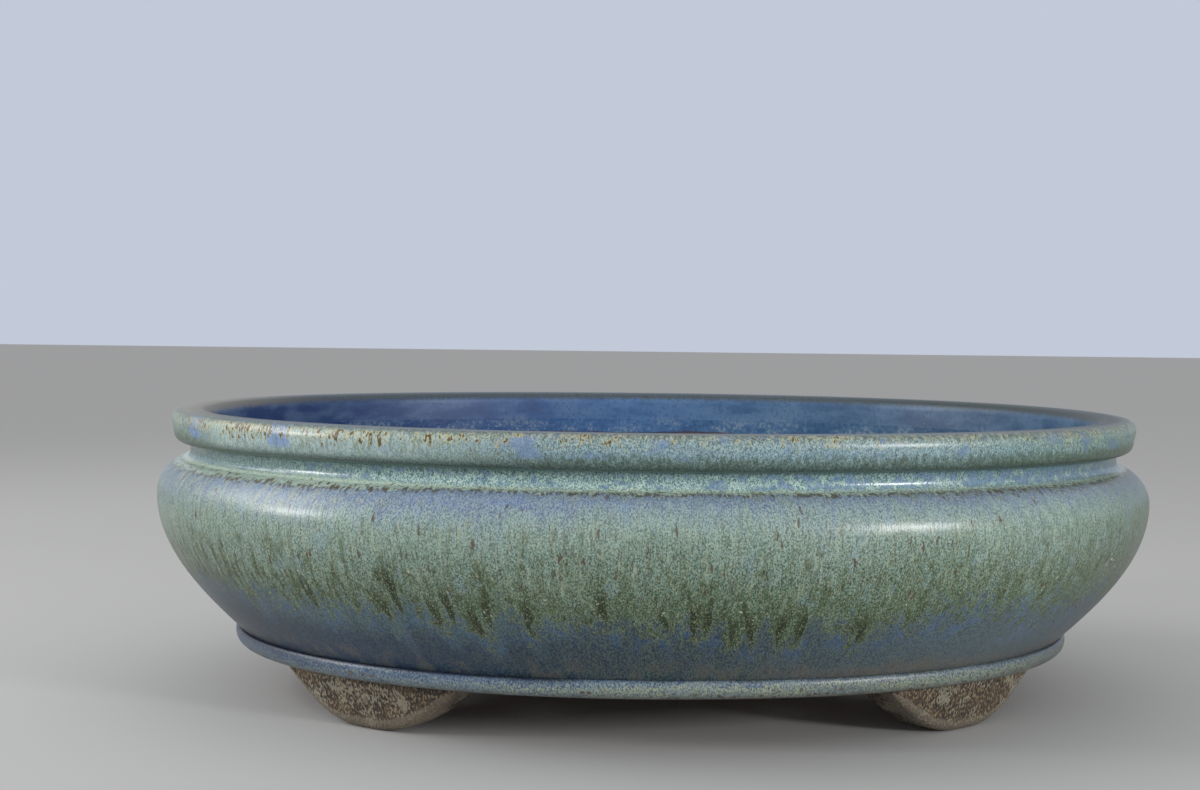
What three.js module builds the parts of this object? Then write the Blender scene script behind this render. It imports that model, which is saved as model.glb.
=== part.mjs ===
// An oval stoneware bonsai pot, made of the pieces that a potter forms and lutes together with slip:
// a floor slab, four feet, a foot band, a bulging belly wall, a hollowed neck band and a heavy lip.
// Millimetres, +Z up. The origin is on the ground under the middle of the pot, with its length along X.
// An inset is measured inward from the outline of the belly at its fullest height.

import * as THREE from 'three';

// Plan of the belly at its fullest height, where a power of 2 would be a plain ellipse
const BELLY_LENGTH = 360;
const BELLY_WIDTH = 300;
const OVAL_POWER = 2.12;

// Heights of the pieces, from the ground up, with the belly's fullest line between its two parts
const FOOT_HEIGHT = 17.8;
const BAND_HEIGHT = 6.6;
const BELLY_LOWER_HEIGHT = 47.6;
const BELLY_UPPER_HEIGHT = 12.4;
const NECK_HEIGHT = 6;
const LIP_HEIGHT = 11.4;

// Belly wall: how far its foot and its shoulder draw in from the fullest line
const BELLY_FOOT_INSET = 29;
const BELLY_SHOULDER_INSET = 8.2;
const BELLY_WALL = 10;
const BELLY_FOOT_WALL = 11;

// Handles of the belly's curves, as shares of each curve's own reach and rise
const LOWER_START = new THREE.Vector2(0.36, 0.22);
const LOWER_END = new THREE.Vector2(1, 0.58);
const UPPER_START = new THREE.Vector2(0, 0.5);
const UPPER_END = new THREE.Vector2(0.5, 0.85);

// Neck band: a hollow moulding between the shoulder and the lip
const NECK_HOLLOW = 3.3;
const NECK_WALL = 7;

// Lip: its outer face stands proud of the shoulder, leans in below and is rounded at its edges
const LIP_PROUD = 3.2;
const LIP_WIDTH = 13.5;
const LIP_LEAN = 0.8;
const LIP_OUTER_ROUND = 4;
const LIP_INNER_ROUND = 4.5;
const LIP_UNDER_ROUND = 4;

// Foot band: a rounded moulding round the edge of the floor
const BAND_PROUD = 1.3;
const BAND_UPPER_ROUND = 2.2;
const BAND_UNDERCUT = 6.1;

// Floor slab, with two drain holes and four holes for tie wires
const FLOOR_THICKNESS = 9;
const DRAIN_DIAMETER = 28;
const DRAIN_SPACING = 150;
const WIRE_HOLE_DIAMETER = 7;
const WIRE_HOLE_SPACING_LONG = 84;
const WIRE_HOLE_SPACING_WIDE = 110;
const LUTE_GAP = 0.3;

// Feet: half moons that follow the oval, each with a short flat sole
const FOOT_SPACING = 207;
const FOOT_LENGTH = 74;
const FOOT_SOLE_LENGTH = 10;
const FOOT_TOP_DEPTH = 20;
const FOOT_SOLE_DEPTH = 14;
const FOOT_SETBACK = 1;
const FOOT_LEAN = 4.5;
const FOOT_END = 1.4;
const FOOT_EDGE = 3;

// How finely curves are divided
const OVAL_STEPS = 64;
const CURVE_STEPS = 5;
const HOLE_STEPS = 12;

// Levels of the seams between the pieces
const BAND_BOTTOM = FOOT_HEIGHT;
const BELLY_BOTTOM = BAND_BOTTOM + BAND_HEIGHT;
const BELLY_FULLEST = BELLY_BOTTOM + BELLY_LOWER_HEIGHT;
const NECK_BOTTOM = BELLY_FULLEST + BELLY_UPPER_HEIGHT;
const LIP_BOTTOM = NECK_BOTTOM + NECK_HEIGHT;
const LIP_TOP = LIP_BOTTOM + LIP_HEIGHT;

// Insets that neighbouring pieces share
const LIP_INSET = BELLY_SHOULDER_INSET - LIP_PROUD;
const LIP_UNDER_INSET = LIP_INSET + LIP_LEAN + LIP_UNDER_ROUND;
const NECK_INNER_INSET = BELLY_SHOULDER_INSET + NECK_HOLLOW + NECK_WALL;
const FLOOR_SEAT_INSET = BELLY_FOOT_INSET + BELLY_FOOT_WALL;
const BAND_INSET = BELLY_FOOT_INSET - BAND_PROUD;
const BAND_SOFFIT_INSET = BAND_INSET + BAND_UNDERCUT;

// Fired colours
const MATERIALS = {
  lip: { color: 0x9aa69a, roughness: 0.35, metalness: 0 },
  neck: { color: 0x86a39a, roughness: 0.35, metalness: 0 },
  belly: { color: 0x7f9ca6, roughness: 0.35, metalness: 0 },
  band: { color: 0x7d8d98, roughness: 0.4, metalness: 0 },
  clay: { color: 0x7b6a58, roughness: 0.85, metalness: 0 },
};

// A point at this angle on the oval with this inset
function ovalPoint(angle, inset, height) {
  const share = 2 / OVAL_POWER;
  const long = Math.cos(angle);
  const wide = Math.sin(angle);
  const x = (BELLY_LENGTH / 2 - inset) * Math.sign(long) * Math.abs(long) ** share;
  const y = (BELLY_WIDTH / 2 - inset) * Math.sign(wide) * Math.abs(wide) ** share;
  return new THREE.Vector3(x, y, height);
}

// A closed solid through rings of points: a hoop meets itself, and a bar has a cap on each end
function loft(rings, isHoop) {
  const count = rings[0].length;
  const faces = [];
  const spans = isHoop ? rings.length : rings.length - 1;
  for (let ring = 0; ring < spans; ring += 1) {
    const here = ring * count;
    const there = ((ring + 1) % rings.length) * count;
    for (let side = 0; side < count; side += 1) {
      const next = (side + 1) % count;
      faces.push(here + side, there + side, there + next);
      faces.push(here + side, there + next, here + next);
    }
  }
  if (!isHoop) {
    const last = (rings.length - 1) * count;
    for (let side = 1; side < count - 1; side += 1) {
      faces.push(0, side, side + 1);
      faces.push(last, last + side + 1, last + side);
    }
  }
  const geometry = new THREE.BufferGeometry().setFromPoints(rings.flat());
  geometry.setIndex(faces);
  geometry.computeVertexNormals();
  return geometry;
}

// A closed section of inset and height, carried once round the oval
function ovalHoop(section) {
  const outline = section.getPoints(CURVE_STEPS);
  outline.pop();
  const rings = [];
  for (let step = 0; step < OVAL_STEPS; step += 1) {
    const angle = (step / OVAL_STEPS) * Math.PI * 2;
    rings.push(outline.map((point) => ovalPoint(angle, point.x, point.y)));
  }
  return loft(rings, true);
}

function namedMesh(name, geometry, material) {
  const mesh = new THREE.Mesh(geometry, new THREE.MeshStandardMaterial(material));
  mesh.name = name;
  return mesh;
}

// Lip: from its inner edge along the flat underside, round the outer face and over the top
function lipSection() {
  const inner = LIP_INSET + LIP_WIDTH;
  const leanInset = LIP_INSET + LIP_LEAN;
  const mostRound = LIP_HEIGHT / 2;
  const underTop = LIP_BOTTOM + Math.min(LIP_UNDER_ROUND, mostRound);
  const outerTop = LIP_TOP - Math.min(LIP_OUTER_ROUND, mostRound);
  const innerTop = LIP_TOP - Math.min(LIP_INNER_ROUND, mostRound);
  const section = new THREE.Path();
  section.moveTo(inner, LIP_BOTTOM);
  section.lineTo(LIP_UNDER_INSET, LIP_BOTTOM);
  section.quadraticCurveTo(leanInset, LIP_BOTTOM, leanInset, underTop);
  section.lineTo(LIP_INSET, outerTop);
  section.quadraticCurveTo(LIP_INSET, LIP_TOP, LIP_INSET + LIP_OUTER_ROUND, LIP_TOP);
  section.lineTo(inner - LIP_INNER_ROUND, LIP_TOP);
  section.quadraticCurveTo(inner, LIP_TOP, inner, innerTop);
  section.lineTo(inner, LIP_BOTTOM);
  return section;
}

// Neck band: flat on its seams, with a hollow outer face
function neckSection() {
  const deepest = BELLY_SHOULDER_INSET + NECK_HOLLOW;
  const middle = (NECK_BOTTOM + LIP_BOTTOM) / 2;
  const section = new THREE.Path();
  section.moveTo(NECK_INNER_INSET, NECK_BOTTOM);
  section.lineTo(BELLY_SHOULDER_INSET, NECK_BOTTOM);
  section.quadraticCurveTo(deepest, NECK_BOTTOM, deepest, middle);
  section.quadraticCurveTo(deepest, LIP_BOTTOM, LIP_UNDER_INSET, LIP_BOTTOM);
  section.lineTo(NECK_INNER_INSET, LIP_BOTTOM);
  section.lineTo(NECK_INNER_INSET, NECK_BOTTOM);
  return section;
}

// A curve of the belly from one point to another, with its handles as shares of the way
function bellyCurve(section, from, to, startShare, endShare) {
  const reach = to.clone().sub(from);
  const start = reach.clone().multiply(startShare).add(from);
  const end = reach.clone().multiply(endShare).add(from);
  section.bezierCurveTo(start.x, start.y, end.x, end.y, to.x, to.y);
}

// Belly wall: up the outside to the shoulder, across the seam and down the inside
function bellySection() {
  const foot = new THREE.Vector2(BELLY_FOOT_INSET, BELLY_BOTTOM);
  const fullest = new THREE.Vector2(0, BELLY_FULLEST);
  const shoulder = new THREE.Vector2(BELLY_SHOULDER_INSET, NECK_BOTTOM);
  const innerShoulder = new THREE.Vector2(NECK_INNER_INSET, NECK_BOTTOM);
  const innerFullest = new THREE.Vector2(BELLY_WALL, BELLY_FULLEST);
  const innerFoot = new THREE.Vector2(FLOOR_SEAT_INSET, BELLY_BOTTOM);
  const opposite = (share) => new THREE.Vector2(1 - share.x, 1 - share.y);
  const section = new THREE.Path();
  section.moveTo(foot.x, foot.y);
  bellyCurve(section, foot, fullest, LOWER_START, LOWER_END);
  bellyCurve(section, fullest, shoulder, UPPER_START, UPPER_END);
  section.lineTo(innerShoulder.x, innerShoulder.y);
  bellyCurve(section, innerShoulder, innerFullest, opposite(UPPER_END), opposite(UPPER_START));
  bellyCurve(section, innerFullest, innerFoot, opposite(LOWER_END), opposite(LOWER_START));
  section.lineTo(foot.x, foot.y);
  return section;
}

// Foot band: a rounded outer face, flat above under the belly and flat below on the feet
function bandSection() {
  const upperEdge = BELLY_BOTTOM - Math.min(BAND_UPPER_ROUND, BAND_HEIGHT / 2);
  const section = new THREE.Path();
  section.moveTo(FLOOR_SEAT_INSET, BAND_BOTTOM);
  section.lineTo(BAND_SOFFIT_INSET, BAND_BOTTOM);
  section.quadraticCurveTo(BAND_INSET, BAND_BOTTOM, BAND_INSET, upperEdge);
  section.quadraticCurveTo(BAND_INSET, BELLY_BOTTOM, BELLY_FOOT_INSET, BELLY_BOTTOM);
  section.lineTo(FLOOR_SEAT_INSET, BELLY_BOTTOM);
  section.lineTo(FLOOR_SEAT_INSET, BAND_BOTTOM);
  return section;
}

// Floor slab: an oval plate inside the foot band, pierced for water and for tie wires
function floorGeometry() {
  const outline = [];
  for (let step = 0; step < OVAL_STEPS; step += 1) {
    const angle = (step / OVAL_STEPS) * Math.PI * 2;
    const point = ovalPoint(angle, FLOOR_SEAT_INSET + LUTE_GAP, BAND_BOTTOM);
    outline.push(new THREE.Vector2(point.x, point.y));
  }
  const slab = new THREE.Shape(outline);
  const pierce = (x, y, diameter) => {
    slab.holes.push(new THREE.Path().absarc(x, y, diameter / 2, 0, Math.PI * 2, true));
  };
  for (const end of [-1, 1]) {
    pierce((end * DRAIN_SPACING) / 2, 0, DRAIN_DIAMETER);
    for (const side of [-1, 1]) {
      pierce((end * WIRE_HOLE_SPACING_LONG) / 2, (side * WIRE_HOLE_SPACING_WIDE) / 2, WIRE_HOLE_DIAMETER);
    }
  }
  const extrusion = { depth: FLOOR_THICKNESS, bevelEnabled: false, curveSegments: HOLE_STEPS };
  const geometry = new THREE.ExtrudeGeometry(slab, extrusion);
  geometry.translate(0, 0, BAND_BOTTOM);
  return geometry;
}

// The underside of a foot along its length: a curve down to the sole, the sole, and a curve up again
function footUnderside() {
  const half = FOOT_LENGTH / 2;
  const soleHalf = FOOT_SOLE_LENGTH / 2;
  const handle = (half + soleHalf) / 2;
  const rise = FOOT_HEIGHT - FOOT_END;
  const underside = new THREE.Path();
  underside.moveTo(-half, rise);
  underside.quadraticCurveTo(-handle, 0, -soleHalf, 0);
  underside.lineTo(soleHalf, 0);
  underside.quadraticCurveTo(handle, 0, half, rise);
  return underside.getPoints(CURVE_STEPS);
}

// Foot: sections across the oval, whose outer face leans in towards a narrow sole
function footGeometry(end, side) {
  const topInset = BAND_SOFFIT_INSET + FOOT_SETBACK;
  const outerInset = (height) => topInset + FOOT_LEAN * (1 - height / FOOT_HEIGHT);
  const innerTop = topInset + FOOT_TOP_DEPTH;
  const innerSole = topInset + FOOT_LEAN + FOOT_SOLE_DEPTH;
  const innerInset = (height) => THREE.MathUtils.lerp(innerSole, innerTop, height / FOOT_HEIGHT);
  const long = FOOT_SPACING / 2 / (BELLY_LENGTH / 2 - topInset);
  const quarterAngle = Math.acos(long ** (OVAL_POWER / 2));
  const nudge = 0.01;
  const before = ovalPoint(quarterAngle - nudge, topInset, 0);
  const after = ovalPoint(quarterAngle + nudge, topInset, 0);
  const anglePerLength = (2 * nudge) / before.distanceTo(after);
  const rings = footUnderside().map((point) => {
    const angle = quarterAngle + point.x * anglePerLength;
    const edge = Math.min(FOOT_EDGE, (FOOT_HEIGHT - point.y) / 2);
    const corners = [
      [outerInset(FOOT_HEIGHT), FOOT_HEIGHT],
      [outerInset(point.y + edge), point.y + edge],
      [outerInset(point.y) + edge, point.y],
      [innerInset(point.y), point.y],
      [innerInset(FOOT_HEIGHT), FOOT_HEIGHT],
    ];
    return corners.map(([inset, height]) => {
      const corner = ovalPoint(angle, inset, height);
      return corner.multiply(new THREE.Vector3(end, side, 1));
    });
  });
  if (end * side > 0) {
    rings.reverse();
  }
  return loft(rings, false);
}

// The pot, from the rim down
const pot = new THREE.Group();
pot.add(namedMesh('lip', ovalHoop(lipSection()), MATERIALS.lip));
pot.add(namedMesh('neck_band', ovalHoop(neckSection()), MATERIALS.neck));
pot.add(namedMesh('belly_wall', ovalHoop(bellySection()), MATERIALS.belly));
pot.add(namedMesh('foot_band', ovalHoop(bandSection()), MATERIALS.band));
pot.add(namedMesh('floor_slab', floorGeometry(), MATERIALS.clay));
for (const [sideName, side] of [['front', -1], ['back', 1]]) {
  for (const [endName, end] of [['left', -1], ['right', 1]]) {
    pot.add(namedMesh(`foot_${sideName}_${endName}`, footGeometry(end, side), MATERIALS.clay));
  }
}

export default pot;
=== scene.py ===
"""An oval stoneware bonsai pot with a running blue and green glaze, put together from the floor up."""

import math

import bmesh
import bpy
import numpy as np
from mathutils import Matrix, Vector


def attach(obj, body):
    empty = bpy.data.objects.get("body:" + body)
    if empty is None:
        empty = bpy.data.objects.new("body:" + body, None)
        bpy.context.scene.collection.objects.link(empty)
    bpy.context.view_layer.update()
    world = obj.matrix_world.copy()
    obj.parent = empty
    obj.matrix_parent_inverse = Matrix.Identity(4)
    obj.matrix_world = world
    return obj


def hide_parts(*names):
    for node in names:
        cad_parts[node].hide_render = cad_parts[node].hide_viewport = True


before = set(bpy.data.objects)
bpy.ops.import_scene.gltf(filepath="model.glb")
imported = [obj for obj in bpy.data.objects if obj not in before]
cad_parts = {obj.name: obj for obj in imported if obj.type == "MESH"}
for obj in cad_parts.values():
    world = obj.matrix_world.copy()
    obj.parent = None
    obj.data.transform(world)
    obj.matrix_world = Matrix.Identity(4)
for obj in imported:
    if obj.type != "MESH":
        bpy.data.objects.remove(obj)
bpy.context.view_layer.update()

# Floor slab
# A rolled slab of brown stoneware clay, pierced for water and for tie wires while it was soft. It sits inside
# the foot band, a coil of clay is smoothed into the corner between it and the wall, and it stays unglazed.

MM = 0.001
OVAL_LENGTH = 360
OVAL_WIDTH = 300
OVAL_POWER = 2.12
ROUND_STEPS = 288
FINE_STEPS = 7200


def oval_point(angle, inset, height):
    """The point in metres at this angle of the pot, this many mm in from its fullest outline and up."""
    share = 2 / OVAL_POWER
    long = math.cos(angle)
    wide = math.sin(angle)
    x = (OVAL_LENGTH / 2 - inset) * math.copysign(abs(long) ** share, long)
    y = (OVAL_WIDTH / 2 - inset) * math.copysign(abs(wide) ** share, wide)
    return Vector((x, y, height)) * MM


fine_angles = np.linspace(0, 2 * math.pi, FINE_STEPS + 1)
fine_points = np.array([oval_point(angle, 0, 0) for angle in fine_angles])
fine_steps = np.linalg.norm(np.diff(fine_points, axis=0), axis=1)
fine_lengths = np.concatenate(([0], np.cumsum(fine_steps)))
ROUND_RADIUS = fine_lengths[-1] / (2 * math.pi)
even_lengths = np.linspace(0, fine_lengths[-1], ROUND_STEPS, endpoint=False)
ROUND_ANGLES = np.interp(even_lengths, fine_lengths, fine_angles)


def bend(start, handle, end, steps):
    """Points of inset and height along a simple curve from start to end that leans towards the handle."""
    points = []
    for step in range(steps + 1):
        way = step / steps
        near = (1 - way) ** 2
        middle = 2 * way * (1 - way)
        far = way**2
        inset = start[0] * near + handle[0] * middle + end[0] * far
        height = start[1] * near + handle[1] * middle + end[1] * far
        points.append((inset, height))
    return points


FLOOR_BOTTOM = 17.8
FLOOR_TOP = 26.8
FLOOR_INSET = 40.3
FLOOR_RELIEF = 0.35
WALL_FOOT = 24.4
COIL_START = (50, FLOOR_TOP)
COIL_CORNER = (37.6, FLOOR_TOP)
COIL_END = (33, 31.2)
COIL_STEPS = 10
DRAIN_RADIUS = 14
DRAIN_PLACE = 75
WIRE_HOLE_RADIUS = 3.5
WIRE_HOLE_PLACE = (42, 55)
HOLE_SOFTNESS = 1.1
HOLE_STEPS = 48
HOLE_RIM_STEPS = 5

slab = bmesh.new()


def slab_ring(points):
    return [slab.verts.new(point) for point in points]


def slab_bridge(ring, next_ring):
    count = len(ring)
    for corner in range(count):
        after = (corner + 1) % count
        slab.faces.new((ring[corner], ring[after], next_ring[after], next_ring[corner]))


def ring_edges(ring):
    count = len(ring)
    edges = []
    for corner in range(count):
        ends = (ring[corner], ring[(corner + 1) % count])
        edges.append(slab.edges.get(ends) or slab.edges.new(ends))
    return edges


slab_edge = bend(COIL_START, COIL_CORNER, COIL_END, COIL_STEPS)
slab_edge += [(FLOOR_INSET, WALL_FOOT), (FLOOR_INSET, FLOOR_BOTTOM), (COIL_START[0], FLOOR_BOTTOM)]
slab_rings = []
for inset, height in slab_edge:
    slab_rings.append(slab_ring([oval_point(angle, inset, height) for angle in ROUND_ANGLES]))
for ring, next_ring in zip(slab_rings, slab_rings[1:]):
    slab_bridge(ring, next_ring)
top_edges = ring_edges(slab_rings[0])
bottom_edges = ring_edges(slab_rings[-1])

holes = [(DRAIN_PLACE, 0, DRAIN_RADIUS), (-DRAIN_PLACE, 0, DRAIN_RADIUS)]
for end in (-1, 1):
    for side in (-1, 1):
        holes.append((end * WIRE_HOLE_PLACE[0], side * WIRE_HOLE_PLACE[1], WIRE_HOLE_RADIUS))
for x, y, radius in holes:
    flare = (radius + HOLE_SOFTNESS, FLOOR_TOP)
    upper = bend(flare, (radius, FLOOR_TOP), (radius, FLOOR_TOP - HOLE_SOFTNESS), HOLE_RIM_STEPS)
    hole_profile = upper + [(wide, FLOOR_TOP + FLOOR_BOTTOM - height) for wide, height in reversed(upper)]
    hole_rings = []
    for wide, height in hole_profile:
        circle = []
        for step in range(HOLE_STEPS):
            turn = 2 * math.pi * step / HOLE_STEPS
            circle.append(Vector((x + wide * math.cos(turn), y + wide * math.sin(turn), height)) * MM)
        hole_rings.append(slab_ring(circle))
    for ring, next_ring in zip(hole_rings, hole_rings[1:]):
        slab_bridge(ring, next_ring)
    top_edges += ring_edges(hole_rings[0])
    bottom_edges += ring_edges(hole_rings[-1])
bmesh.ops.triangle_fill(slab, use_beauty=True, use_dissolve=False, edges=top_edges)
bmesh.ops.triangle_fill(slab, use_beauty=True, use_dissolve=False, edges=bottom_edges)
bmesh.ops.recalc_face_normals(slab, faces=slab.faces)

# A corner turns by more than this many degrees, and stays sharp.
CORNER_ANGLE = 38


def finished_piece(name, mesh, material):
    """Smooths a mesh except at its corners, gives it its material and makes it a piece of the pot."""
    mesh.polygons.foreach_set("use_smooth", [True] * len(mesh.polygons))
    mesh.set_sharp_from_angle(angle=math.radians(CORNER_ANGLE))
    mesh.materials.append(material)
    piece = bpy.data.objects.new(name, mesh)
    bpy.context.scene.collection.objects.link(piece)
    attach(piece, "root")
    return piece


class Shade:
    """An output of a material's node. Sums and products of shades become Math nodes."""

    def __init__(self, socket):
        self.socket = socket

    def node(self, kind, settings, inputs, output=0):
        """A new node of this kind, with its settings and with values or shades on its sockets."""
        tree = self.socket.id_data
        made = tree.nodes.new(kind)
        for name, value in settings.items():
            if name == "stops":
                stops = made.color_ramp.elements
                while len(stops) < len(value):
                    stops.new(1)
                for stop, (place, colour) in zip(stops, value):
                    stop.position = place
                    stop.color = colour
            else:
                setattr(made, name, value)
        for name, value in inputs.items():
            if isinstance(value, Shade):
                tree.links.new(value.socket, made.inputs[name])
            else:
                made.inputs[name].default_value = value
        return Shade(made.outputs[output])

    def math(self, operation, *values):
        return self.node("ShaderNodeMath", {"operation": operation}, dict(enumerate(values)))

    def __add__(self, other):
        return self.math("ADD", self, other)

    def __radd__(self, other):
        return self.math("ADD", other, self)

    def __sub__(self, other):
        return self.math("SUBTRACT", self, other)

    def __rsub__(self, other):
        return self.math("SUBTRACT", other, self)

    def __mul__(self, other):
        return self.math("MULTIPLY", self, other)

    def __rmul__(self, other):
        return self.math("MULTIPLY", other, self)

    def __truediv__(self, other):
        return self.math("DIVIDE", self, other)


def display(red, green, blue):
    """A colour from its display values of 0 to 255."""
    colour = []
    for value in (red / 255, green / 255, blue / 255):
        colour.append(value / 12.92 if value <= 0.04045 else ((value + 0.055) / 1.055) ** 2.4)
    return (*colour, 1)


def stretched(place, across, down):
    """A place whose pattern is this many times longer round the pot and down it."""
    shares = (1 / across, 1 / across, 1 / down if down else 0)
    return place.node("ShaderNodeVectorMath", {"operation": "MULTIPLY"}, {0: place, 1: shares})


def cloud(place, size, detail=2, rough=0.5):
    """Soft noise from 0 to 1 whose patches are about this size in mm."""
    inputs = {"Vector": place, "Scale": 1 / (size * MM), "Detail": detail, "Roughness": rough}
    return place.node("ShaderNodeTexNoise", {"noise_dimensions": "3D"}, inputs)


def rise(value, low, high):
    """0 below low, 1 above high and smooth between, or the other way round where low is the greater."""
    inputs = {"Value": value, "From Min": low, "From Max": high, "To Min": 0, "To Max": 1}
    return value.node("ShaderNodeMapRange", {"interpolation_type": "SMOOTHSTEP"}, inputs)


def mixed(share, first, second):
    """A colour between two, all of the second where share is 1."""
    return share.node("ShaderNodeMix", {"data_type": "RGBA"}, {0: share, 6: first, 7: second}, 2)


def specks(place, size, share, spread=0.32):
    """Spots that reach this spread of a cell, in this share of the cells of a grid of this size in mm."""
    inputs = {"Vector": place, "Scale": 1 / (size * MM), "Randomness": 1}
    settings = {"voronoi_dimensions": "3D", "feature": "F1"}
    distance = place.node("ShaderNodeTexVoronoi", settings, inputs)
    cell = place.node("ShaderNodeTexVoronoi", settings, inputs, 1)
    chance = place.node("ShaderNodeSeparateColor", {}, {0: cell})
    return rise(distance, spread, spread * 0.6) * rise(chance, share, share * 0.8)


def new_material(name):
    material = bpy.data.materials.new(name)
    material.use_nodes = True
    return material


def object_place(material):
    """Where a point is on the piece, in metres."""
    return Shade(material.node_tree.nodes.new("ShaderNodeTexCoord").outputs["Object"])


SURFACE_IOR = 1.5


def fired(material, colour, roughness, relief, depth):
    """Joins colour, roughness and a relief this deep, in mm, to the material's surface."""
    shader = material.node_tree.nodes["Principled BSDF"]
    shader.inputs["IOR"].default_value = SURFACE_IOR
    bump = colour.node("ShaderNodeBump", {}, {"Strength": 1, "Distance": depth * MM, "Height": relief})
    for name, shade in (("Base Color", colour), ("Roughness", roughness), ("Normal", bump)):
        material.node_tree.links.new(shade.socket, shader.inputs[name])


def bare_clay_shades(place):
    """Colour, roughness and relief of unglazed brown stoneware with fine grog."""
    grain = cloud(place, 1.1, 3, 0.6)
    patch = cloud(place, 26, 3, 0.6)
    wiping = cloud(stretched(place, 9, 1), 1.6, 2)
    base = mixed(rise(patch, 0.36, 0.64), display(104, 80, 62), display(128, 103, 82))
    base = mixed(rise(grain, 0.45, 0.7) * 0.5, base, display(150, 126, 102))
    base = mixed(rise(wiping, 0.5, 0.7) * 0.35, base, display(88, 66, 52))
    base = mixed(specks(place, 2.2, 0.22), base, display(58, 46, 40))
    roughness = 0.78 + grain * 0.16
    relief = grain * 0.6 + wiping * 0.4 + specks(place, 2.6, 0.2) * 0.3
    return base, roughness, relief


floor_clay = new_material("floor_clay")
fired(floor_clay, *bare_clay_shades(object_place(floor_clay)), FLOOR_RELIEF)
floor_mesh = bpy.data.meshes.new("floor")
slab.to_mesh(floor_mesh)
slab.free()
floor_piece = finished_piece("floor", floor_mesh, floor_clay)
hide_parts("floor_slab")

# Feet
# Four half moons of brown-grey clay, cut from a coil, pressed on under the band and rounded with a wet thumb.
# They stay unglazed, and years of hard water have left pale lime in the texture of their faces.

FOOT_TOP = 17.8
FOOT_SPACING = 207
FOOT_LENGTH = 74
FOOT_SOLE_LENGTH = 10
FOOT_TOP_INSET = 34.8
FOOT_LEAN = 4.5
FOOT_TOP_DEPTH = 20
FOOT_SOLE_DEPTH = 14
FOOT_END = 1.4
FOOT_EDGE = 3.4
FOOT_EDGE_SHARE = 0.45
FOOT_STEPS = 56
FOOT_EDGE_STEPS = 6
FOOT_FACE_STEPS = 6
FOOT_RELIEF = 0.6


def foot_underside(along):
    """The height of a foot's rounded underside at this distance from its middle."""
    sole = FOOT_SOLE_LENGTH / 2
    beyond = max(abs(along) - sole, 0) / (FOOT_LENGTH / 2 - sole)
    return (FOOT_TOP - FOOT_END) * beyond**2


def foot_outline(underside):
    """A foot's section across the oval: down its leaning face, round its edge, along the sole and up."""
    edge = min(FOOT_EDGE, (FOOT_TOP - underside) * FOOT_EDGE_SHARE)

    def outer(height):
        return FOOT_TOP_INSET + FOOT_LEAN * (1 - height / FOOT_TOP)

    def inner(height):
        share = height / FOOT_TOP
        return FOOT_TOP_INSET + FOOT_TOP_DEPTH * share + (FOOT_LEAN + FOOT_SOLE_DEPTH) * (1 - share)

    face_end = underside + edge
    front_low = (outer(underside), underside)
    back_low = (inner(underside), underside)
    front = bend((outer(face_end), face_end), front_low, (front_low[0] + edge, underside), FOOT_EDGE_STEPS)
    back = bend((back_low[0] - edge, underside), back_low, (inner(face_end), face_end), FOOT_EDGE_STEPS)
    face = []
    for step in range(FOOT_FACE_STEPS):
        height = FOOT_TOP + (face_end - FOOT_TOP) * step / FOOT_FACE_STEPS
        face.append((outer(height), height))
    return face + front + back + [(inner(FOOT_TOP), FOOT_TOP)]


def foot_mesh(name, end, side):
    """One foot as rings of its section, set along the oval on this end and side of the pot."""
    middle = math.acos((FOOT_SPACING / 2 / (OVAL_LENGTH / 2 - FOOT_TOP_INSET)) ** (OVAL_POWER / 2))
    nudge = 0.01
    before = oval_point(middle - nudge, FOOT_TOP_INSET, 0)
    after = oval_point(middle + nudge, FOOT_TOP_INSET, 0)
    angle_per_mm = 2 * nudge * MM / (after - before).length
    foot = bmesh.new()
    rings = []
    worn = []
    for step in range(FOOT_STEPS + 1):
        along = FOOT_LENGTH / 2 * (2 * step / FOOT_STEPS - 1)
        ring = []
        for corner, (inset, height) in enumerate(foot_outline(foot_underside(along))):
            point = oval_point(middle + along * angle_per_mm, inset, height)
            ring.append(foot.verts.new(point * Vector((end, side, 1))))
            worn.append(float(FOOT_FACE_STEPS <= corner <= FOOT_FACE_STEPS + FOOT_EDGE_STEPS))
        rings.append(ring)
    for ring, next_ring in zip(rings, rings[1:]):
        count = len(ring)
        for corner in range(count):
            turn = (corner + 1) % count
            foot.faces.new((ring[corner], ring[turn], next_ring[turn], next_ring[corner]))
    foot.faces.new(rings[0])
    foot.faces.new(rings[-1])
    bmesh.ops.recalc_face_normals(foot, faces=foot.faces)
    mesh = bpy.data.meshes.new(name)
    foot.to_mesh(mesh)
    foot.free()
    mesh.attributes.new("worn_edge", "FLOAT", "POINT").data.foreach_set("value", worn)
    return mesh


def swing(value, reach):
    """A shade from 0 to 1 turned into one that swings about 0, over this reach in all."""
    return (value - 0.5) * reach


foot_clay = new_material("foot_clay")
foot_place = object_place(foot_clay)
foot_edge = foot_clay.node_tree.nodes.new("ShaderNodeAttribute")
foot_edge.attribute_name = "worn_edge"
foot_worn = Shade(foot_edge.outputs["Fac"])
foot_grain = cloud(stretched(foot_place, 1, 1.8), 0.7, 2)
foot_patch = cloud(foot_place, 11, 2)
foot_crust = cloud(stretched(foot_place, 1.5, 1), 7, 3, 0.6)
foot_base = mixed(rise(foot_patch, 0.42, 0.58), display(62, 55, 46), display(88, 74, 60))
foot_base = mixed(rise(foot_grain, 0.5, 0.64), foot_base, display(134, 116, 90))
foot_base = mixed(rise(foot_grain, 0.48, 0.36) * 0.85, foot_base, display(48, 42, 38))
foot_lime = rise(foot_crust + swing(foot_grain, 0.7), 0.54, 0.64)
foot_base = mixed(foot_lime * 0.7, foot_base, display(150, 145, 127))
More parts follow.
